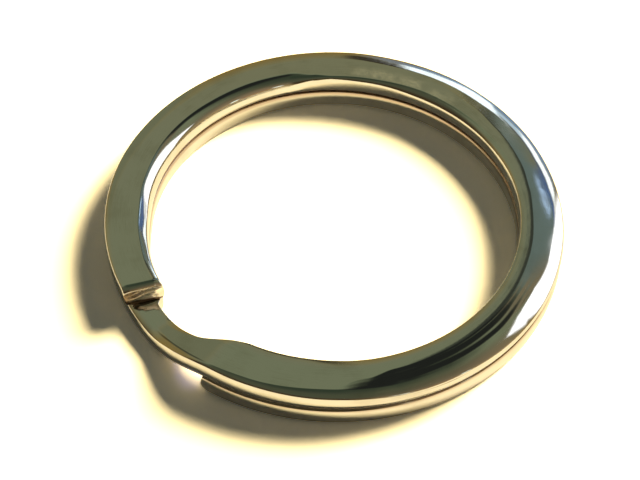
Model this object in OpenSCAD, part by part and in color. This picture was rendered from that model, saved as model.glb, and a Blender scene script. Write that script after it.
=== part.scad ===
// Split key ring: one flat-faced steel strip wound edgewise into two stacked turns.
// The ring lies flat. Its axis is Z, and its lower face is at z = 0.
// "run" is the angle wound along the strip, counted from the +X axis: the bottom turn
// comes first, then the crossing where the strip climbs, then the top turn.

/* [Ring] */
// Outer diameter of the ring
ring_od = 32; // [24:0.5:60]
// Radial width of the strip in the two stacked turns
strip_w = 3.15; // [2.6:0.05:6]
// Thickness of one turn
turn_t = 1.45; // [1.1:0.05:2.5]
// Air left between the two turns
turn_gap = 0.05; // [0.02:0.01:0.2]

/* [Strip edges] */
// How far in from the wall the rounding of an outward face starts
face_round_w = 0.55; // [0.2:0.05:0.9]
// How far down the wall the rounding of an outward face reaches
face_round_h = 0.3; // [0.2:0.05:0.6]
// Rounding of the edges where the turns lie on each other
mate_round = 0.3; // [0.1:0.05:0.5]
// How far the middle of the outer wall stands out beyond its edges. The inner wall is plain.
wall_bulge = 0.1; // [0:0.05:0.2]

/* [Crossing] */
// Angle round the ring at which the top turn is cut off
top_cut_at = 210.5; // [195:0.5:225]
// Distance between the two cut ends, along the middle of the strip
cut_gap = 7.3; // [6.9:0.05:9]
// Distance from the top cut to the start of the climb
climb_lead = 2.1; // [1.2:0.05:2.4]
// Length over which the strip climbs by one turn
climb_len = 4.6; // [3.5:0.05:4.8]
// How much the single strip is pulled in on its inner edge
neck_in = 1.05; // [0.5:0.05:1.2]
// How much the single strip is pulled in on its outer edge
neck_out = 0.2; // [0:0.05:0.4]
// Distance from the top cut to where the inner edge swings back
neck_len = 4.9; // [3:0.1:6]
// Length of that swing
neck_blend = 4.3; // [3:0.1:6]
// Length of the step below the top cut, where the neck starts
neck_step = 0.8; // [0.4:0.05:1.5]

/* [Cut ends] */
// How much both turns thin on their inner edge towards the top cut
flare_in = 0.45; // [0:0.05:0.6]
// Length of that thinning
flare_len = 7.7; // [4:0.1:10]
// Lean of the cuts away from square across the strip
cut_lean = 12; // [0:1:20]
// Length over which the sections lean over to the cut
lean_len = 2; // [1.2:0.1:3]
// Length of the rounding on the outward edge of a cut end
end_round_len = 0.55; // [0.2:0.05:0.9]
// Drop of that rounding at the cut
end_round_drop = 0.4; // [0.1:0.05:0.5]

/* [Quality] */
// Flats in the rounding of each edge of the strip
round_steps = 6; // [3:1:8]
// Longest step along the swept stretches
sweep_step = 0.45; // [0.3:0.05:1.2]

/* [Hidden] */

outer_r = ring_od / 2;
inner_r = outer_r - strip_w;
mid_r = outer_r - strip_w / 2;
pitch = turn_t + turn_gap;
round_limit = 0.45;
wall_steps = 4;
full_circle_facets = 90;
// A swept stretch is this much slimmer all round where it runs into a turned one, so that
// the two meet cleanly at any size, and it reaches this far inside.
join_slack = 0.01;
join_lap = 0.3;
join_blend = 0.5;
steel = "#b9b7ae";

// Angle that a length takes up along the middle of the strip
function turned(length) = length / mid_r * 180 / PI;

// Runs at which something starts or ends
bottom_cut = top_cut_at + turned(cut_gap) - 360;
bottom_round_to = bottom_cut + turned(end_round_len);
bottom_plain = bottom_cut + turned(lean_len);
flare_from = top_cut_at - turned(flare_len);
step_to = top_cut_at + turned(neck_step);
climb_from = top_cut_at + turned(climb_lead);
climb_to = climb_from + turned(climb_len);
swing_from = top_cut_at + turned(neck_len);
swing_to = swing_from + turned(neck_blend);
crossing_to = max(climb_to, swing_to);
top_cut = top_cut_at + 360;
top_plain = flare_from + 360;
top_lean_from = top_cut - turned(lean_len);
top_round_from = top_cut - turned(end_round_len);
lap = turned(join_lap);

function mix(a, b, t) = a + (b - a) * t;

// Where run lies between a and b, from 0 to 1
function between(a, b, run) = max(0, min(1, (run - a) / (b - a)));

// The same with an easy start and finish
function eased(a, b, run) = let (t = between(a, b, run)) t * t * (3 - 2 * t);

// The same along a quarter of a circle, flat at a and steep at b
function rounded(a, b, run) = let (t = between(a, b, run)) 1 - sqrt(1 - t * t);

// How far the strip has climbed, from 0 in the bottom turn to 1 in the top turn
function climb(run) = eased(climb_from, climb_to, run);

// How much of each change of width there is at a run
function swing_back(run) = 1 - eased(swing_from, swing_to, run);
function neck(run) = eased(top_cut_at, step_to, run) * swing_back(run);
function flare(run) =
    run < crossing_to
        ? eased(flare_from, top_cut_at, run) * swing_back(run)
        : eased(top_plain, top_cut, run);
function pull_out(run) = eased(flare_from, top_cut_at, run) * (1 - climb(run));

function edge_in(run) = inner_r + flare_in * flare(run) + (neck_in - flare_in) * neck(run);
function edge_out(run) = outer_r - neck_out * pull_out(run);

// How much slimmer the section is at a run, near the ends of the turned stretches
function near(at, run) =
    1 - eased(turned(join_lap), turned(join_lap + join_blend), abs(run - at));
function slimmed(run) =
    join_slack * max([for (at = [bottom_plain, flare_from, crossing_to, top_plain]) near(at, run)]);

// Rounding of the outward edges of the two cut ends
function top_drop(run) = end_round_drop * rounded(top_round_from, top_cut, run);
function bottom_rise(run) = end_round_drop * rounded(bottom_round_to, bottom_cut, run);

// Angle by which a point of the section is ahead of its run, because the cuts lean
function lean_weight(run) =
    eased(top_lean_from, top_cut, run) + 1 - eased(bottom_cut, bottom_plain, run);
function lead(radius, run) =
    lean_weight(run) * tan(cut_lean) * (mid_r - radius) / mid_r * 180 / PI;

// One rounded corner of the section: a quarter of an ellipse that starts at angle from
function corner(r, z, w, h, from) = [
    for (i = [0 : round_steps])
        let (a = from + 90 * i / round_steps)
        [r + w * cos(a), z + h * sin(a)]
];

// The bulging outer wall between two heights, without its ends
function outer_wall(r, z_from, z_to) = [
    for (i = [1 : wall_steps - 1])
        let (t = i / wall_steps)
        [r + wall_bulge * 4 * t * (1 - t), mix(z_from, z_to, t)]
];

// Section between two radii and two heights, as [radius, height] points. low and high
// are the [width, height] of the roundings of its lower and upper edges.
function section(r_in, r_out, z_low, z_high, low, high) =
    let (
        most_w = (r_out - r_in) * round_limit,
        most_h = (z_high - z_low) * round_limit,
        lw = min(low[0], most_w),
        lh = min(low[1], most_h),
        hw = min(high[0], most_w),
        hh = min(high[1], most_h),
        out = r_out - wall_bulge
    )
    concat(
        corner(out - lw, z_low + lh, lw, lh, -90),
        outer_wall(out, z_low + lh, z_high - hh),
        corner(out - hw, z_high - hh, hw, hh, 0),
        corner(r_in + hw, z_high - hh, hw, hh, 90),
        corner(r_in + lw, z_low + lh, lw, lh, 180)
    );

// The face that looks outward has the wide rounding, the face on the other turn the small one
face_round = [face_round_w, face_round_h];
small_round = [mate_round, mate_round];
function section_at(run) =
    let (up = climb(run), foot = pitch * up, slack = slimmed(run))
    section(
        edge_in(run) + slack, edge_out(run) - slack,
        foot + slack + bottom_rise(run), foot + turn_t - slack - top_drop(run),
        mix(face_round, small_round, up), mix(small_round, face_round, up)
    );

// The section's points at their place round the ring
function placed(run) = [
    for (p = section_at(run))
        let (a = run + lead(p[0], run))
        [p[0] * cos(a), p[0] * sin(a), p[1]]
];

// Even stations between two runs, no further apart than sweep_step
function stations(from, to) =
    let (n = ceil((to - from) / turned(sweep_step)))
    [for (i = [0 : n]) mix(from, to, i / n)];

// Stations after a start, which crowd towards a rounded cut
function cut_stations(start, cut) = [for (a = [18 : 18 : 90]) mix(start, cut, sin(a))];

function reversed(list) = [for (i = [len(list) - 1 : -1 : 0]) list[i]];

// A plain stretch, turned about the axis from one section
module plain_turn(from, to) {
    rotate([0, 0, from])
        rotate_extrude(angle = to - from, $fn = full_circle_facets)
            polygon(section_at((from + to) / 2));
}

// A stretch whose section changes, swept through stations of rising run
module swept_stretch(runs) {
    around = 4 * (round_steps + 1) + wall_steps - 1;
    last = len(runs) - 1;
    points = [for (run = runs) each placed(run)];
    skin = [
        for (i = [0 : last - 1], j = [0 : around - 1])
            let (a = i * around + j, b = i * around + (j + 1) % around)
            each [[a, b, a + around], [b, b + around, a + around]]
    ];
    start = [for (j = [around - 1 : -1 : 0]) j];
    finish = [for (j = [0 : around - 1]) last * around + j];
    polyhedron(points = points, faces = concat(skin, [start, finish]));
}

module bottom_end() {
    round_runs = reversed(cut_stations(bottom_round_to, bottom_cut));
    swept_stretch(concat(round_runs, stations(bottom_round_to, bottom_plain + lap)));
}

module bottom_turn() {
    plain_turn(bottom_plain, flare_from);
}

module crossing() {
    swept_stretch(stations(flare_from - lap, crossing_to + lap));
}

module top_turn() {
    plain_turn(crossing_to, top_plain);
}

module top_end() {
    round_runs = cut_stations(top_round_from, top_cut);
    swept_stretch(concat(stations(top_plain - lap, top_round_from), round_runs));
}

module split_ring() {
    color(steel)
        union() {
            bottom_end();
            bottom_turn();
            crossing();
            top_turn();
            top_end();
        }
}

split_ring();
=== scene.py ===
import math

import bpy
import numpy as np
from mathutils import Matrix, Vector


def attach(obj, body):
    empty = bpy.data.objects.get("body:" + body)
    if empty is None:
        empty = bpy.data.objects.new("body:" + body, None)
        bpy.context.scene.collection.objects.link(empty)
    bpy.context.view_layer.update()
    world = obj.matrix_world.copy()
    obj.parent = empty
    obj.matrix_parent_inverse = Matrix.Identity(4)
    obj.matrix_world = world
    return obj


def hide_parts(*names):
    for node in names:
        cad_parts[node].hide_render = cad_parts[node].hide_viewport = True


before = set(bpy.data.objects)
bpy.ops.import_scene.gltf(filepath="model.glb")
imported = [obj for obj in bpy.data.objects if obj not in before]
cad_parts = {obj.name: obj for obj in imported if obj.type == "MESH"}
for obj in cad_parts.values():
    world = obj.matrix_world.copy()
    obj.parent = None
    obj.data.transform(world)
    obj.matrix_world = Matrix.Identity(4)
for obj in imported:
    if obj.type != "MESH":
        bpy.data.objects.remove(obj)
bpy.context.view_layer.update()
print("frame loaded:", ", ".join(sorted(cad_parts)))

mm = 0.001


class Wire:
    # a socket that can be used in sums, so shader maths reads like ordinary maths

    def __init__(self, nodes, socket):
        self.nodes = nodes
        self.socket = socket

    def maths(self, operation, *values):
        return self.nodes.add("Math", {"operation": operation}, dict(enumerate(values)))

    def __add__(self, other):
        return self.maths("ADD", self, other)

    def __radd__(self, other):
        return self.maths("ADD", other, self)

    def __sub__(self, other):
        return self.maths("SUBTRACT", self, other)

    def __rsub__(self, other):
        return self.maths("SUBTRACT", other, self)

    def __mul__(self, other):
        return self.maths("MULTIPLY", self, other)

    def __rmul__(self, other):
        return self.maths("MULTIPLY", other, self)

    def __truediv__(self, other):
        return self.maths("DIVIDE", self, other)

    def __rtruediv__(self, other):
        return self.maths("DIVIDE", other, self)

    def __abs__(self):
        return self.maths("ABSOLUTE", self)

    def highest(self, other):
        return self.maths("MAXIMUM", self, other)

    def between(self, low, high):
        # 0 below low, 1 above high and an easy rise from one to the other
        return self.nodes.add(
            "MapRange", {"interpolation_type": "SMOOTHSTEP"}, {0: self, 1: low, 2: high, 3: 0.0, 4: 1.0}
        )

    def band(self, start, full, fading, end):
        # rises from start to full, and falls again from fading to end
        return self.between(start, full) * (1 - self.between(fading, end))


class Nodes:
    # the nodes of one material or world

    def __init__(self, owner):
        owner.use_nodes = True
        self.tree = owner.node_tree
        self.tree.nodes.clear()

    def add(self, kind, settings=None, sockets=None, output=0):
        node = self.tree.nodes.new("ShaderNode" + kind)
        for name, value in (settings or {}).items():
            if name == "stops":
                self.setStops(node.color_ramp, value)
            else:
                setattr(node, name, value)
        for name, value in (sockets or {}).items():
            self.feed(node.inputs[name], value)
        return Wire(self, node.outputs[output]) if len(node.outputs) else node

    def feed(self, socket, value):
        if isinstance(value, Wire):
            self.tree.links.new(value.socket, socket)
        elif socket.type == "RGBA":
            socket.default_value = (*value, 1.0)
        else:
            socket.default_value = value

    def setStops(self, ramp, stops):
        while len(ramp.elements) < len(stops):
            ramp.elements.new(1.0)
        for element, (place, colour) in zip(ramp.elements, stops):
            element.position = place
            element.color = (*colour, 1.0)

    def ramp(self, value, stops):
        return self.add("ValToRGB", {"stops": stops}, {0: value})

    def mixColour(self, amount, low, high):
        return self.add("Mix", {"data_type": "RGBA"}, {"Factor": amount, 6: low, 7: high}, output=2)

    def scaled(self, vector, factor):
        return self.add("VectorMath", {"operation": "SCALE"}, {0: vector, "Scale": factor})

    def length(self, vector):
        return self.add("VectorMath", {"operation": "LENGTH"}, {0: vector}, output=1)

    def dot(self, first, second):
        return self.add("VectorMath", {"operation": "DOT_PRODUCT"}, {0: first, 1: second}, output=1)

    def parts(self, vector):
        node = self.add("SeparateXYZ", None, {0: vector}).socket.node
        return [Wire(self, socket) for socket in node.outputs]

    def join(self, x, y, z):
        return self.add("CombineXYZ", None, {0: x, 1: y, 2: z})

    def noise(self, vector, scale, detail, rough):
        sockets = {"Vector": vector, "Scale": scale, "Detail": detail, "Roughness": rough}
        return self.add("TexNoise", None, sockets)


def direction(azimuth, elevation):
    # azimuth is counted from straight back (+Y) towards the right (+X)
    side, lift = math.radians(azimuth), math.radians(elevation)
    return Vector((math.sin(side) * math.cos(lift), math.cos(side) * math.cos(lift), math.sin(lift)))


camera = {
    "place": (0.0, -71.88 * mm, 85.14 * mm),
    "turn": (39.981, -0.614, 1.523),  # degrees
    "lens": 88.28,
    "sensor": 36.0,
    "nearest": 1 * mm,
    "furthest": 10.0,
}


def makeCamera(values):
    data = bpy.data.cameras.new("camera")
    data.lens = values["lens"]
    data.sensor_width = values["sensor"]
    data.sensor_fit = "HORIZONTAL"
    data.clip_start = values["nearest"]
    data.clip_end = values["furthest"]
    holder = bpy.data.objects.new("camera", data)
    holder.location = values["place"]
    holder.rotation_euler = [math.radians(angle) for angle in values["turn"]]
    bpy.context.scene.collection.objects.link(holder)
    bpy.context.scene.camera = holder


makeCamera(camera)
print("camera placed")

# The ring is one strip wound into two turns. Lengths are in millimetres and angles in
# degrees. A list of pairs gives a value by the angle wound along the strip, which is
# counted from +X: the bottom turn, the crossing from about 210, then the top turn.
splitRing = {
    "strip": {
        "outerRadius": 16.0,
        "width": 3.15,
        "thickness": 1.45,
        "gap": 0.05,
        "topCut": 210.5,  # where the top turn is cut off
        "cutGap": 7.3,  # between the two cut ends
        "climbLead": 2.1,
        "climbLength": 4.6,
        "lowerClimbLength": 5.5,  # the two faces climb a little apart
        "upperClimbLength": 5.7,
        "neckIn": 1.05,
        "neckOut": 0.2,
        "neckLength": 4.9,
        "neckBlend": 4.3,
        "neckStep": 0.8,
        "flareIn": 0.45,
        "flareLength": 7.7,
        "cutLean": 12.0,
        "cutBack": 8.0,  # how far the top cut leans back from upright
        "leanLength": 2.0,
        "endLength": 0.46,
        "endDrop": 0.37,
    },
    "section": {
        "faceRound": 0.5,  # the outward face's edge on the bottom turn
        "mateRound": 0.3,  # the edges where the turns lie on each other
        "outerBulge": [(-60, 0.12), (-20, 0.08), (0, 0.05), (205, 0.05), (230, 0.13), (300, 0.12),
                       (322, 0.05), (360, 0.04)],
        "innerBulge": [(374, 0.08), (392, 0.03), (440, 0.03), (460, 0.1), (468, 0.13), (520, 0.13),
                       (562, 0.08)],
        "lowBulge": 0.04,  # how far a wall draws back again at its foot
        "outerMateTall": 0.42,
        "steepest": 70.0,  # tilt at which a rounded edge passes into the wall
        "lastRound": 0.11,  # width of the last rounding outside
        "creaseSoft": 0.07,  # width over which the facet starts
        "rippleWaves": 2.5,  # waves of the ripple across the facet
        "smallStep": 0.03,  # from an edge to the next point on a face or wall
        "leastFacet": 0.1,
        "leastShare": 0.3,  # of an upper edge, before its rounding
        "mostDrop": 0.6,  # of the height, that an upper edge takes up
        "mostMateTall": 0.35,  # the same for the lower outer edge
        "mostLowTall": 0.3,  # and for the lower edges elsewhere
        "cornerSteps": 7,
        "wallSteps": 7,
        "facetSteps": 16,
        "zoneSteps": 6,
        "roundSteps": 6,
        "fineSteps": 160,
        "endSteps": 10,
        "stationStep": 0.62,  # degrees
    },
    # The polished upper face has a facet outside its flat land, and an edge on each side.
    # Each zone starts at the first tilt and reaches the last one across its width. An edge
    # does that over a share of its width and then rounds off into the wall.
    "upperFace": {
        "facetStart": [(268, 0.955), (279, 0.905), (287, 0.882), (300, 0.877), (325, 0.872), (345, 0.865),
                       (360, 0.86), (370, 0.865), (380, 0.875), (395, 0.88), (405, 0.89), (420, 0.91),
                       (436, 0.93)],  # of the outer radius
        "facetFirst": [(268, 0.0), (276, 3.0), (287, 7.0), (300, 10.0), (330, 9.0), (360, 8.0), (385, 8.0),
                       (405, 5.0), (425, 0.0)],
        "ripple": [(268, 0.0), (279, 0.5), (294, 5.0), (320, 5.0), (342, 0.0)],
        "facetLast": [(268, 0.0), (285, 11.0), (300, 12.0), (330, 13.0), (360, 12.5), (375, 12.5), (390, 9.0),
                      (405, 6.0), (425, 1.0)],
        "outerWidth": [(150, 0.35), (205, 0.5), (212, 0.74), (222, 0.74), (229, 0.5), (236, 0.36), (250, 0.5),
                       (270, 0.72), (300, 0.85), (317, 0.88), (330, 1.12), (345, 0.82), (360, 0.74),
                       (375, 0.83), (392, 0.83), (410, 1.0), (434, 1.12), (450, 0.96), (510, 0.96),
                       (540, 0.64), (571, 0.52)],
        "outerFirst": [(212, 10.0), (240, 12.0), (270, 14.0), (300, 16.0), (317, 18.0), (330, 22.0),
                       (345, 18.0), (360, 15.0), (375, 13.0), (392, 10.0), (410, 8.0), (434, 7.0),
                       (446, 2.0)],
        "outerLast": [(212, 34.0), (300, 34.0), (317, 38.0), (330, 40.0), (345, 34.0), (360, 28.0),
                      (375, 22.0), (392, 18.0), (410, 15.0), (434, 16.0), (450, 18.0)],
        "innerWidth": [(150, 0.3), (205, 0.3), (212, 0.5), (240, 0.55), (255, 0.8), (270, 0.85), (300, 0.65),
                       (330, 0.55), (360, 0.45), (420, 0.5), (440, 0.32), (452, 0.28), (458, 0.5),
                       (466, 0.95), (480, 1.0), (510, 1.0), (530, 0.85), (545, 0.75), (560, 0.6),
                       (571, 0.55)],
        "innerFirst": [(212, 2.0), (270, 1.0), (360, 2.0), (385, 8.0), (420, 12.0), (445, 8.0), (490, 8.0),
                       (506, 14.0), (530, 14.0), (548, 20.0), (556, 16.0), (568, 10.0)],
        "innerLast": [(212, 12.0), (238, 8.0), (262, 8.0), (285, 20.0), (345, 20.0), (360, 25.0), (385, 30.0),
                      (420, 40.0), (445, 40.0), (462, 30.0), (505, 34.0), (530, 40.0), (550, 27.0),
                      (558, 22.0), (568, 19.0)],
        "innerShare": [(212, 0.9), (262, 0.9), (285, 0.85), (360, 0.85), (385, 0.6), (445, 0.6), (462, 0.7),
                       (530, 0.74), (550, 0.82)],
    },
    # the sheared faces of the two ends
    "tornEnd": {
        "ridge": 0.16,
        "ridgeHeight": 0.05,  # above the middle of the face
        "ridgeSlant": 0.25,
        "ridgeWidth": 0.22,
        "tears": 0.03,
        "tearsAcross": (9.0, 2.0),  # radians a millimetre, across the strip and up it
        "tearsUp": (3.0, 7.0),
        "edgePower": 6,  # higher keeps more of the face rough, up to its edge
        "copies": (0.96, 0.88, 0.78, 0.66, 0.54, 0.42, 0.3, 0.18, 0.08),  # sizes of the rings that close it
    },
}

strip = splitRing["strip"]
section = splitRing["section"]
upperFace = splitRing["upperFace"]
tornEnd = splitRing["tornEnd"]

outerRadius = strip["outerRadius"]
innerRadius = outerRadius - strip["width"]
midRadius = outerRadius - strip["width"] / 2
pitch = strip["thickness"] + strip["gap"]


def turned(length):
    # the angle that a length takes up along the middle of the strip
    return math.degrees(length / midRadius)


topCut = strip["topCut"]
bottomCut = topCut + turned(strip["cutGap"]) - 360
bottomRoundTo = bottomCut + turned(strip["endLength"])
bottomPlain = bottomCut + turned(strip["leanLength"])
flareFrom = topCut - turned(strip["flareLength"])
climbFrom = topCut + turned(strip["climbLead"])
climbTo = climbFrom + turned(strip["climbLength"])
lowerClimbTo = climbFrom + turned(strip["lowerClimbLength"])
upperClimbTo = climbFrom + turned(strip["upperClimbLength"])
swingFrom = topCut + turned(strip["neckLength"])
swingTo = swingFrom + turned(strip["neckBlend"])
lastRun = topCut + 360
leanFrom = lastRun - turned(strip["leanLength"])
endRoundFrom = lastRun - turned(strip["endLength"])


def between(low, high, value):
    return np.clip((value - low) / (high - low), 0.0, 1.0)


def eased(low, high, value):
    t = between(low, high, value)
    return t * t * (3 - 2 * t)


def rounded(low, high, value):
    t = between(low, high, value)
    return 1 - np.sqrt(1 - t * t)


def along(table, run):
    # a value that eases from one entry of a table to the next
    places, values = zip(*table)
    result = np.full(np.shape(run), float(values[0]))
    for i in range(len(places) - 1):
        result = result + (values[i + 1] - values[i]) * eased(places[i], places[i + 1], run)
    return result


def fallen(tilts, width):
    # how far a face has dropped at each of its evenly placed points, from its tilts there
    slopes = np.tan(tilts)
    return np.concatenate([[0], np.cumsum((slopes[1:] + slopes[:-1]) / 2) * width / (len(slopes) - 1)])


def tiltedEdge(width, first, last, share):
    # (distance, drop) points from the start of an edge to the top of the wall
    roundSteps = section["roundSteps"]
    zone = np.linspace(0, share, section["zoneSteps"] + 1)
    bend = np.sin(np.radians(np.arange(1, roundSteps + 1) * (90 / roundSteps)))
    places = np.concatenate([zone, share + (1 - share) * bend])
    fine = np.linspace(0, 1, section["fineSteps"] + 1)
    toLast = first + (last - first) * fine / share
    rounding = np.clip((fine - share) / (1 - share), 0, 1)
    steepest = math.sin(math.radians(section["steepest"]))
    sines = math.sin(math.radians(last)) * (1 - rounding) + steepest * rounding
    tilt = np.where(fine < share, np.radians(toLast), np.arcsin(sines))
    return places * width, np.interp(places, fine, fallen(tilt, width))


def bulged(top, bottom, bulge, steps):
    # (stand-out, height) points down a wall; it is widest at a height between its ends,
    # where its slope has run on from that of the edge above it
    wallRun = 2 * math.tan(math.radians(section["steepest"]))
    widest = max(bottom + section["smallStep"], top - wallRun * bulge)
    heights = np.linspace(top, bottom, steps + 2)[1:-1]
    above = np.clip((heights - widest) / (top - widest), 0, 1)
    below = np.clip((widest - heights) / (widest - bottom), 0, 1)
    return bulge - bulge * above ** 2 - section["lowBulge"] * below ** 2, heights


def sectionAt(run):
    # the strip's section at a run, as (radius, height) points from the lower outer corner round
    climb = float(eased(climbFrom, climbTo, run))
    swingBack = 1 - float(eased(swingFrom, swingTo, run))
    neck = float(eased(topCut, topCut + turned(strip["neckStep"]), run)) * swingBack
    if run < swingTo:
        flare = float(eased(flareFrom, topCut, run)) * swingBack
    else:
        flare = float(eased(flareFrom + 360, lastRun, run))
    pullOut = float(eased(flareFrom, topCut, run)) * (1 - climb)
    rIn = innerRadius + strip["flareIn"] * flare + (strip["neckIn"] - strip["flareIn"]) * neck
    rOut = outerRadius - strip["neckOut"] * pullOut
    foot = pitch * float(eased(climbFrom, lowerClimbTo, run))
    low = foot + strip["endDrop"] * float(rounded(bottomRoundTo, bottomCut, run))
    high = pitch * float(eased(climbFrom, upperClimbTo, run)) + strip["thickness"]
    high -= strip["endDrop"] * float(rounded(endRoundFrom, lastRun, run))
    tall = high - low
    face = {name: float(along(table, run)) for name, table in upperFace.items()}
    outerBulge = float(along(section["outerBulge"], run))
    innerBulge = float(along(section["innerBulge"], run))
    wallOut = rOut - outerBulge
    wallIn = rIn + innerBulge

    # the facet outside the flat land
    facetEnd = wallOut + outerBulge - face["outerWidth"]
    facetStart = min(face["facetStart"] * outerRadius, facetEnd - section["leastFacet"])
    facetWidth = facetEnd - facetStart
    facetX = np.linspace(0, 1, section["facetSteps"] + 1)
    facetTilt = np.radians(face["facetFirst"] + (face["facetLast"] - face["facetFirst"]) * facetX)
    waves = np.sin(2 * math.pi * section["rippleWaves"] * facetX)
    facetTilt = facetTilt + np.radians(face["ripple"]) * waves
    facetTilt = facetTilt * np.clip(facetX * facetWidth / section["creaseSoft"], 0, 1)
    facetDrop = fallen(facetTilt, facetWidth)

    # the upper edges
    outerWidth = wallOut - facetEnd
    share = max(section["leastShare"], 1 - section["lastRound"] / outerWidth)
    outX, outDrop = tiltedEdge(outerWidth, face["outerFirst"], face["outerLast"], share)
    innerWidth = face["innerWidth"] - innerBulge
    inX, inDrop = tiltedEdge(innerWidth, face["innerFirst"], face["innerLast"], face["innerShare"])
    outDrop = outDrop + facetDrop[-1]
    most = tall * section["mostDrop"]
    outDrop = outDrop * min(1.0, most / outDrop[-1])
    inDrop = inDrop * min(1.0, most / inDrop[-1])

    # the lower edges
    mate = section["mateRound"]
    lowRound = section["faceRound"] + (mate - section["faceRound"]) * climb
    lowTall = min(mate, tall * section["mostLowTall"])
    outTall = lowTall + (min(section["outerMateTall"], tall * section["mostMateTall"]) - lowTall) * climb
    quarter = np.radians(np.linspace(0, 90, section["cornerSteps"] + 1))
    step = section["smallStep"]
    points = []
    # lower outer corner
    edgeOut = rOut - section["lowBulge"]
    for t in quarter:
        points.append((edgeOut - lowRound + lowRound * math.sin(t), low + outTall - outTall * math.cos(t)))
    # outer wall, going up
    out, heights = bulged(high - outDrop[-1], low + outTall, outerBulge, section["wallSteps"])
    points += [(wallOut + x, z) for x, z in zip(out[::-1], heights[::-1])]
    # outer edge, facet and land
    points += [(facetEnd + x, high - drop) for x, drop in zip(outX[::-1], outDrop[::-1])]
    for x, drop in zip(facetX[-2::-1], facetDrop[-2::-1]):
        points.append((facetStart + facetWidth * x, high - drop))
    landIn = wallIn + face["innerWidth"] - innerBulge
    points += [(landIn + 0.5 * (facetStart - landIn), high), (landIn + step, high)]
    # inner edge and inner wall, going down
    points += [(landIn - x, high - drop) for x, drop in zip(inX, inDrop)]
    out, heights = bulged(high - inDrop[-1], low + lowTall, innerBulge, section["wallSteps"])
    points += [(wallIn - x, z) for x, z in zip(out, heights)]
    # lower inner corner and the lower face
    edgeIn = rIn + section["lowBulge"]
    for t in quarter:
        points.append((edgeIn + lowRound - lowRound * math.cos(t), low + lowTall - lowTall * math.sin(t)))
    middle = (rIn + rOut) / 2
    points += [(edgeIn + lowRound + step, low), (middle, low), (edgeOut - lowRound - step, low)]
    return np.array(points)


def leanAt(radius, height, run):
    # degrees by which a point is ahead of its run, because the cuts lean
    end = float(eased(leanFrom, lastRun, run))
    weight = end + 1 - float(eased(bottomCut, bottomPlain, run))
    across = weight * math.tan(math.radians(strip["cutLean"])) * (midRadius - radius)
    back = end * math.tan(math.radians(strip["cutBack"])) * (pitch + strip["thickness"] - height)
    return np.degrees((across + back) / midRadius)


def stationRuns():
    # even stations, closer together towards the cut ends
    plain = list(np.arange(bottomRoundTo, endRoundFrom, section["stationStep"]))
    crowd = [math.sin(math.radians(a)) for a in range(0, 91, 90 // section["endSteps"])]
    start = [bottomRoundTo + (bottomCut - bottomRoundTo) * t for t in reversed(crowd[1:])]
    finish = [endRoundFrom + (lastRun - endRoundFrom) * t for t in crowd]
    return start + plain + finish


def torn(offsets, shrink, atStart):
    # how far the points of a sheared end stand out of it: a slanting ridge and a few tears
    angle = math.radians(bottomCut if atStart else lastRun)
    outward = np.array([-math.sin(angle), math.cos(angle), 0.0]) * (-1 if atStart else 1)
    across = (offsets[:, 0] * math.cos(angle) + offsets[:, 1] * math.sin(angle)) * shrink
    height = offsets[:, 2] * shrink
    offRidge = height + tornEnd["ridgeSlant"] * across - tornEnd["ridgeHeight"]
    ridge = tornEnd["ridge"] * np.exp(-(offRidge / tornEnd["ridgeWidth"]) ** 2)
    sideways = tornEnd["tearsAcross"][0] * across + tornEnd["tearsAcross"][1] * height
    upward = tornEnd["tearsUp"][1] * height - tornEnd["tearsUp"][0] * across
    tears = tornEnd["tears"] * np.sin(sideways) * np.cos(upward)
    return outward * ((ridge + tears) * (1 - shrink ** tornEnd["edgePower"]))[:, None]


def makeStrip():
    rings = []
    for run in stationRuns():
        radius, height = sectionAt(run).T
        angles = np.radians(run + leanAt(radius, height, run))
        rings.append(np.stack([radius * np.cos(angles), radius * np.sin(angles), height], axis=1))
    around = len(rings[0])
    faces = []
    for i in range(len(rings) - 1):
        for j in range(around):
            k = (j + 1) % around
            faces.append((i * around + j, (i + 1) * around + j, (i + 1) * around + k, i * around + k))
    # each end is closed by smaller and smaller copies of its section
    vertices = [vertex for ring in rings for vertex in ring]
    for ring, first, atStart in ((rings[0], 0, True), (rings[-1], (len(rings) - 1) * around, False)):
        centre = ring.mean(axis=0)
        last = list(range(first, first + around))
        for shrink in tornEnd["copies"]:
            new = list(range(len(vertices), len(vertices) + around))
            vertices += list(centre + (ring - centre) * shrink + torn(ring - centre, shrink, atStart))
            for j in range(around):
                k = (j + 1) % around
                quad = (last[j], last[k], new[k], new[j])
                faces.append(quad if atStart else quad[::-1])
            last = new
        vertices.append(centre)
        for j in range(around):
            k = (j + 1) % around
            triangle = (last[j], last[k], len(vertices) - 1)
            faces.append(triangle if atStart else triangle[::-1])
    mesh = bpy.data.meshes.new("splitRing")
    mesh.from_pydata([tuple(v * mm) for v in np.array(vertices)], [], faces)
    mesh.validate()
    mesh.update()
    for polygon in mesh.polygons:
        polygon.use_smooth = True
    piece = bpy.data.objects.new("splitRing", mesh)
    bpy.context.scene.collection.objects.link(piece)
    return piece


ring = makeStrip()
print("strip wound:", len(ring.data.polygons), "faces")

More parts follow.
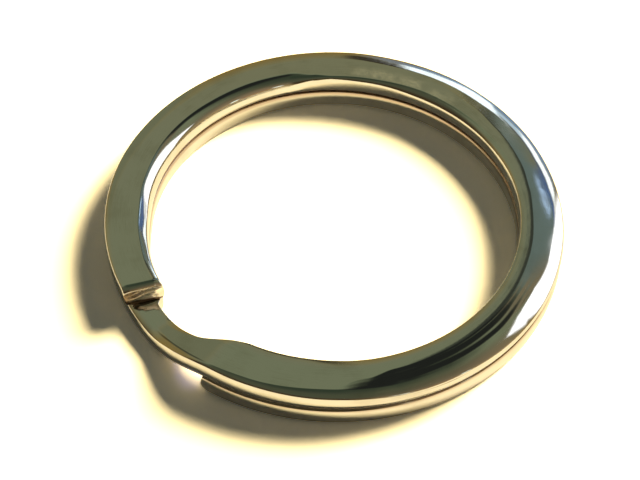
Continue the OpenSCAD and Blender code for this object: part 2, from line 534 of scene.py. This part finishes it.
# Lengths are in millimetres and angles in degrees. A noise is its scale, detail and
# roughness. Two numbers are where a mask starts and where it is full, and four add where
# it fades and ends.
plating = {
    "colour": (0.80, 0.79, 0.76),
    "dull": (0.70, 0.68, 0.63),
    "roughness": 0.07,
    "wornRoughness": 0.16,
    "wear": 0.6,
    "wornTo": (0.45, 0.7),
    "cloudShare": 0.7,  # the rest of the wear follows the lines
    "cloud": (0.35, 3.0, 0.55),
    "peel": (2.2, 2.0, 0.5),
    "lines": (3.0, 4.0, 0.6),
    "lineStretch": (0.25, 4.0, 4.0),  # along the strip, across it and up
    "peelHeight": 0.5,
    "lineHeight": 0.2,
    "bumpStrength": 0.06,
    "bumpDistance": 0.05,
    # a small pitted patch on the back of the upper face: pits bumped into it, with glints painted in their
    # pale colour
    "pitted": 0.45,
    "pitGlintColour": (1.0, 0.97, 0.8),
    "pittedAngles": (47.0, 59.0, 81.0, 91.0),
    "pittedRadii": (13.15, 13.4, 13.8, 14.5),
    "pittedHeights": (2.8, 2.9),
    "pits": (11.0, 3.0, 0.7),
    "pitsTo": (0.38, 0.68),
    "pitClusters": (1.1, 2.0, 0.5),
    "pitClustersTo": (0.3, 0.6),
    "pitHeight": 0.6,
    "pitDullness": 0.3,
    # the sheared end of the top turn: a painted highlight and painted shade in tones that follow a slant and
    # the shear lines, and a painted shadow in the slit at its foot
    "shearedLitColour": (1.0, 0.94, 0.84),
    "shearedShadeColour": (0.3, 0.22, 0.15),
    "slitShadowColour": (0.14, 0.1, 0.07),
    "shearedRoughness": 0.34,
    "shearedAhead": (0.0, 0.05, 1.5, 1.6),
    "shearedRadii": (10.0, 11.0),
    "shearedHeights": (1.47, 1.49),
    "slant": 0.12,
    "slitHeights": (1.5, 1.6),
    "shadingSlant": 0.8,
    "shadingLines": 1.5,
    "shadingRadii": (16.6, 18.2),
    # painted shade, darker and browner, in the groove between the turns, but not at the crossing; angles are
    # counted from -X
    "grooveShade": 0.9,
    "grooveShadeColour": (0.5, 0.4, 0.33),
    "grooveHeights": (1.1, 1.35, 1.6, 1.9),
    "crossingAngles": (27.0, 31.0, 57.0, 60.0),
    # painted shade: a dark line along the crease outside the neck, which runs inward as the strip climbs
    "creaseShade": 0.75,
    "creaseShadeColour": (0.08, 0.08, 0.06),
    "creaseAngles": (40.0, 44.0, 56.0, 60.0),
    "creaseHeights": (1.3, 1.45),
    "creaseRadii": (15.16, 15.22, 15.24, 15.34),
    "creaseShift": 0.38,
    "creaseShiftAngles": (42.0, 60.0),
}


def makePlating(values):
    material = bpy.data.materials.new("platedSteel")
    nodes = Nodes(material)
    place = nodes.scaled(nodes.add("TexCoord", output="Object"), 1 / mm)
    x, y, z = nodes.parts(place)
    angle = nodes.add("Math", {"operation": "ARCTAN2"}, {0: y, 1: x})
    degrees = angle * math.degrees(1)
    fromLeft = degrees + 180
    radius = nodes.length(nodes.join(x, y, 0.0))
    stretchAlong, stretchAcross, stretchUp = values["lineStretch"]
    wound = nodes.join(angle * midRadius * stretchAlong, radius * stretchAcross, z * stretchUp)
    lines = nodes.noise(wound, *values["lines"])
    cloud = nodes.noise(place, *values["cloud"])
    peel = nodes.noise(place, *values["peel"])
    worn = (cloud * values["cloudShare"] + lines * (1 - values["cloudShare"])).between(*values["wornTo"])
    colour = nodes.mixColour(worn, values["colour"], values["dull"])
    rough = values["roughness"] + (values["wornRoughness"] - values["roughness"]) * worn * values["wear"]

    # the pitted patch: pits, with glints painted in their pale colour
    patch = degrees.band(*values["pittedAngles"]) * radius.band(*values["pittedRadii"])
    patch = patch * z.between(*values["pittedHeights"])
    pits = nodes.noise(place, *values["pits"]).between(*values["pitsTo"])
    pits = pits * nodes.noise(place, *values["pitClusters"]).between(*values["pitClustersTo"])
    pits = pits * patch * values["pitted"]
    colour = nodes.mixColour(pits, colour, values["pitGlintColour"])

    # the sheared end; forward and outward are measured from the middle of the ring
    cutAngle = math.radians(lastRun)
    forward = x * -math.sin(cutAngle) + y * math.cos(cutAngle)
    outward = x * math.cos(cutAngle) + y * math.sin(cutAngle)
    ahead = forward + (outward - midRadius) * math.tan(math.radians(strip["cutLean"]))
    sheared = ahead.band(*values["shearedAhead"]) * outward.between(*values["shearedRadii"])
    sheared = sheared * z.between(*values["shearedHeights"])
    # painted light on the torn face: a cream highlight towards the inside and foot, brown shade towards the
    # outside and top, streaked along the shear lines, and a painted shadow in the slit under it
    slanted = z - (outward - innerRadius) * values["slant"]
    shearedShading = outward + slanted * values["shadingSlant"] + lines * values["shadingLines"]
    shearedShading = shearedShading.between(*values["shadingRadii"])
    shearedLightAndShade = nodes.mixColour(shearedShading, values["shearedLitColour"], values["shearedShadeColour"])
    shearedLightAndShade = nodes.mixColour(1 - slanted.between(*values["slitHeights"]), shearedLightAndShade, values["slitShadowColour"])

    # painted shade in the groove and along the crease, then the sheared end's painted light and shade over
    # both
    grooveShade = z.band(*values["grooveHeights"]) * (1 - sheared) * values["grooveShade"]
    grooveShade = grooveShade * (1 - fromLeft.band(*values["crossingAngles"]))
    colour = nodes.mixColour(grooveShade, colour, values["grooveShadeColour"])
    # a painted dark line of shade along the crease outside the neck
    climbing = fromLeft.band(*values["creaseAngles"]) * z.between(*values["creaseHeights"])
    creaseAt = radius - fromLeft.between(*values["creaseShiftAngles"]) * values["creaseShift"]
    creaseShade = creaseAt.band(*values["creaseRadii"]) * climbing * values["creaseShade"]
    colour = nodes.mixColour(creaseShade, colour, values["creaseShadeColour"])
    colour = nodes.mixColour(sheared, colour, shearedLightAndShade)
    rough = rough + (values["shearedRoughness"] - rough) * sheared

    height = peel * values["peelHeight"] + lines * values["lineHeight"] + pits * values["pitHeight"]
    bump = nodes.add("Bump", None, {
        "Strength": values["bumpStrength"],
        "Distance": values["bumpDistance"] * mm,
        "Height": height,
    })
    shader = nodes.add("BsdfPrincipled", None, {
        "Base Color": colour,
        "Metallic": 1 - pits * values["pitDullness"],
        "Roughness": rough,
        "Normal": bump,
    })
    nodes.add("OutputMaterial", None, {"Surface": shader})
    return material


ring.data.materials.append(makePlating(plating))
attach(ring, "root")
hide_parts("split_ring")
print("plated")

floor = {
    "size": 3.0,  # metres; the other lengths are in millimetres from the middle
    "seen": (1.6, 1.5, 1.36),  # what the camera sees
    "lit": (0.43, 0.46, 0.55),  # what lights the ring
    "mirrored": (0.76, 0.72, 0.66),  # what the metal shows
    "mirroredTo": (26.0, 160.0),  # where that fades into the far floor
    "farBack": (0.14, 0.1, 0.04),
    "farFront": (0.024, 0.015, 0.007),
    "farRight": (0.43, 0.4, 0.34),
    "backTo": (-0.4, 0.1),
    "rightTo": (0.3, 0.7),
    "insideGlow": (0.03, 0.026, 0.015),  # keeps the shadow in the ring from going black in the metal
    "insideTo": (13.0, 15.0),
    "dark": (0.0, 0.0, 0.0),
}


def makeFloor(values):
    half = values["size"] / 2
    corners = [(-half, -half, 0), (half, -half, 0), (half, half, 0), (-half, half, 0)]
    mesh = bpy.data.meshes.new("floor")
    mesh.from_pydata(corners, [], [(0, 1, 2, 3)])
    sheet = bpy.data.objects.new("floor", mesh)
    bpy.context.scene.collection.objects.link(sheet)
    material = bpy.data.materials.new("paleFloor")
    nodes = Nodes(material)
    toCamera = nodes.add("LightPath", output="Is Camera Ray")
    toMirror = nodes.add("LightPath", output="Is Glossy Ray")
    place = nodes.scaled(nodes.add("NewGeometry", output="Position"), 1 / mm)
    x, y, z = nodes.parts(place)
    distance = nodes.length(place)
    far = nodes.mixColour((y / distance).between(*values["backTo"]), values["farFront"], values["farBack"])
    far = nodes.mixColour((x / distance).between(*values["rightTo"]), far, values["farRight"])
    mirrored = nodes.mixColour(distance.between(*values["mirroredTo"]), values["mirrored"], far)
    colour = nodes.mixColour(toMirror, values["lit"], mirrored)
    colour = nodes.mixColour(toCamera, colour, values["seen"])
    inside = nodes.mixColour(distance.between(*values["insideTo"]), values["insideGlow"], values["dark"])
    shader = nodes.add("BsdfPrincipled", None, {
        "Base Color": colour,
        "Roughness": 1.0,
        "Specular IOR Level": 0.0,
        "Emission Color": nodes.mixColour(toMirror, values["dark"], inside),
        "Emission Strength": 1.0,
    })
    nodes.add("OutputMaterial", None, {"Surface": shader})
    mesh.materials.append(material)


makeFloor(floor)
print("floor laid")

# the warm key light and the cool low one beside it
lights = [
    {
        "name": "key",
        "from": (51.5, 39.5),
        "distance": 1200 * mm,
        "size": (520 * mm, 400 * mm),
        "power": 19.5,
        "colour": (2.0, 1.68, 0.92),
    },
    {
        "name": "low",
        "from": (50.0, 27.0),
        "distance": 1200 * mm,
        "size": (260 * mm, 140 * mm),
        "power": 3.0,
        "colour": (0.38, 0.44, 1.25),
    },
]

# What the polished faces mirror: a dim olive room with tall windows on the right. Its
# walls are ramps from the floor up. A pane is its direction, half its width and height in
# degrees, the softness of its edges and its colour, and a later one covers an earlier.
room = {
    "back": [(0.0, (0.24, 0.155, 0.045)), (0.28, (0.24, 0.175, 0.055)), (0.4, (0.225, 0.178, 0.068)),
             (0.64, (0.215, 0.205, 0.105)), (0.72, (0.192, 0.203, 0.122)), (0.86, (0.18, 0.207, 0.122)),
             (0.93, (0.06, 0.075, 0.045)), (1.0, (0.035, 0.05, 0.03))],
    "front": [(0.0, (0.05, 0.028, 0.01)), (0.4, (0.055, 0.04, 0.02)), (0.7, (0.08, 0.082, 0.048)),
              (0.93, (0.072, 0.082, 0.047)), (0.975, (0.055, 0.065, 0.04)), (1.0, (0.035, 0.05, 0.03))],
    "right": [(0.0, (0.5, 0.34, 0.15)), (0.12, (0.42, 0.28, 0.13)), (0.3, (0.32, 0.25, 0.13)),
              (0.5, (0.24, 0.18, 0.1)), (0.7, (0.19, 0.15, 0.085)), (0.84, (0.13, 0.115, 0.065)),
              (0.93, (0.1, 0.105, 0.058)), (1.0, (0.035, 0.05, 0.03))],
    "rightTo": (0.15, 0.55),
    "frontTo": (-0.3, 0.2),
    "panes": {
        "ceiling": ((31.0, 65.0), (9.5, 12.0), 0.35, (0.016, 0.018, 0.015)),
        "far wall": ((-25.5, 22.5), (8.5, 19.5), 0.3, (0.168, 0.178, 0.102)),
        "dim glass": ((28.5, 43.0), (10.5, 9.0), 0.3, (0.13, 0.175, 0.155)),
        "wood": ((46.0, 50.0), (5.0, 5.0), 0.6, (0.2, 0.17, 0.1)),
        "low glass": ((22.0, 18.5), (15.0, 4.5), 0.35, (0.2, 0.31, 0.46)),
        "post": ((14.6, 48.0), (2.0, 12.0), 0.4, (0.035, 0.04, 0.03)),
        "frame": ((3.6, 31.0), (2.4, 9.0), 0.35, (0.045, 0.038, 0.024)),
        "blue glass": ((34.0, 34.0), (4.5, 3.0), 0.5, (0.08, 0.14, 0.29)),
        "far window": ((31.0, 27.0), (7.0, 3.2), 0.25, (1.35, 1.48, 1.52)),
        "middle window": ((20.5, 26.6), (3.6, 2.6), 0.4, (0.5, 0.68, 0.82)),
        "near window": ((12.8, 27.2), (5.8, 6.0), 0.13, (1.3, 1.5, 1.6)),
        "sill": ((25.0, 31.6), (5.0, 0.9), 0.5, (0.03, 0.055, 0.11)),
        "far light": ((31.0, 38.8), (1.2, 0.6), 0.5, (0.75, 1.05, 1.5)),
        "second far light": ((29.2, 37.2), (1.2, 0.6), 0.5, (0.75, 1.05, 1.5)),
        "key window": ((62.0, 27.0), (19.0, 18.0), 0.12, (1.7, 1.72, 1.75)),
        "door": ((135.0, 17.0), (9.0, 5.0), 0.4, (0.28, 0.17, 0.1)),
        "small light": ((148.0, 16.0), (2.2, 4.0), 0.3, (1.3, 1.4, 1.2)),
        "other light": ((122.5, 14.0), (2.2, 4.0), 0.3, (1.3, 1.5, 1.3)),
    },
    "leastDepth": 0.001,  # nearer to sideways than this, a pane is cut off
    "fullDepth": 0.05,
    "plain": (0.062, 0.068, 0.056),  # what lights the floor and the ring
    "seen": (1.0, 1.0, 1.0),  # what the camera sees
}


def paneMask(nodes, toward, values, place, halves, soft):
    # a soft-edged rectangle that faces the ring, in a direction from it
    middle = direction(*place)
    side = Vector((middle.y, -middle.x, 0)).normalized()
    rise = side.cross(middle)
    ahead = nodes.dot(toward, tuple(middle))
    depth = ahead.highest(values["leastDepth"])
    mask = ahead.between(0.0, values["fullDepth"])
    for axis, half in zip((side, rise), halves):
        reach = abs(nodes.dot(toward, tuple(axis)) / depth)
        edge = math.tan(math.radians(half))
        mask = mask * (1 - reach.between(edge * (1 - soft), edge * (1 + soft)))
    return mask


def makeRoom(values):
    world = bpy.data.worlds.new("room")
    bpy.context.scene.world = world
    nodes = Nodes(world)
    toward = nodes.add("TexCoord", output="Generated")
    x, y, z = nodes.parts(toward)
    right = x.between(*values["rightTo"])
    front = nodes.mixColour(right, nodes.ramp(z, values["front"]), nodes.ramp(z, values["right"]))
    inFront = (0 - y).between(*values["frontTo"])
    colour = nodes.mixColour(inFront, nodes.ramp(z, values["back"]), front)
    for name, (place, halves, soft, paneColour) in values["panes"].items():
        mask = paneMask(nodes, toward, values, place, halves, soft)
        colour = nodes.mixColour(mask, colour, paneColour)
        colour.socket.node.label = name
    colour = nodes.mixColour(nodes.add("LightPath", output="Is Glossy Ray"), values["plain"], colour)
    colour = nodes.mixColour(nodes.add("LightPath", output="Is Camera Ray"), colour, values["seen"])
    background = nodes.add("Background", None, {"Color": colour, "Strength": 1.0})
    nodes.add("OutputWorld", None, {"Surface": background})


def makeLamp(values):
    data = bpy.data.lights.new(values["name"], "AREA")
    data.shape = "RECTANGLE"
    data.size, data.size_y = values["size"]
    data.energy = values["power"]
    data.color = values["colour"]
    lamp = bpy.data.objects.new(values["name"], data)
    toward = direction(*values["from"])
    lamp.location = toward * values["distance"]
    lamp.rotation_euler = toward.to_track_quat("Z", "Y").to_euler()
    lamp.visible_glossy = False  # a window in the room stands for it there
    lamp.visible_camera = False
    bpy.context.scene.collection.objects.link(lamp)


makeRoom(room)
for lampValues in lights:
    makeLamp(lampValues)
bpy.context.scene.view_settings.view_transform = "Standard"
print("lit")

bpy.context.view_layer.update()
